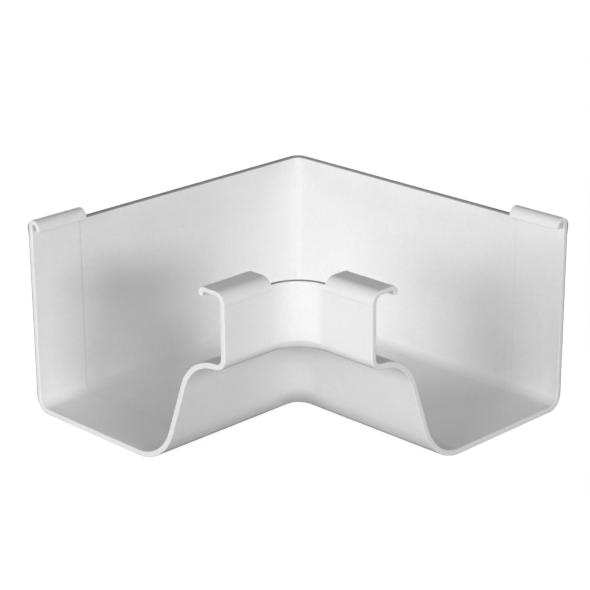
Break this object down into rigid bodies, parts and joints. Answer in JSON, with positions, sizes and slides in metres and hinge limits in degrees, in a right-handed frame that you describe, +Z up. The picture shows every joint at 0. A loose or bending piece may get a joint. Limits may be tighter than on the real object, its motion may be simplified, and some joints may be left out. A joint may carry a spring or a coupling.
{
  "type": "internal gutter angle",
  "caption": "Right-angled internal corner for an ogee roof gutter, moulded in one piece, with a clip-over hook on each wall at both open ends.",
  "frame": {"origin": "the outer back corner of the angle at the level of its sole, where the two back faces would meet if their corner were sharp", "axes": "+Z up, +X along one arm to its open end, -Y along the other arm to its open end; the back faces lie on Y = 0 and X = 0"},
  "size_m": [0.1686, 0.1686, 0.0915],
  "materials": {
    "upvc": "satin white plastic as moulded"
  },
  "bodies": {
    "root": {"gutter_angle": "upvc"}
  },
  "joints": []
}
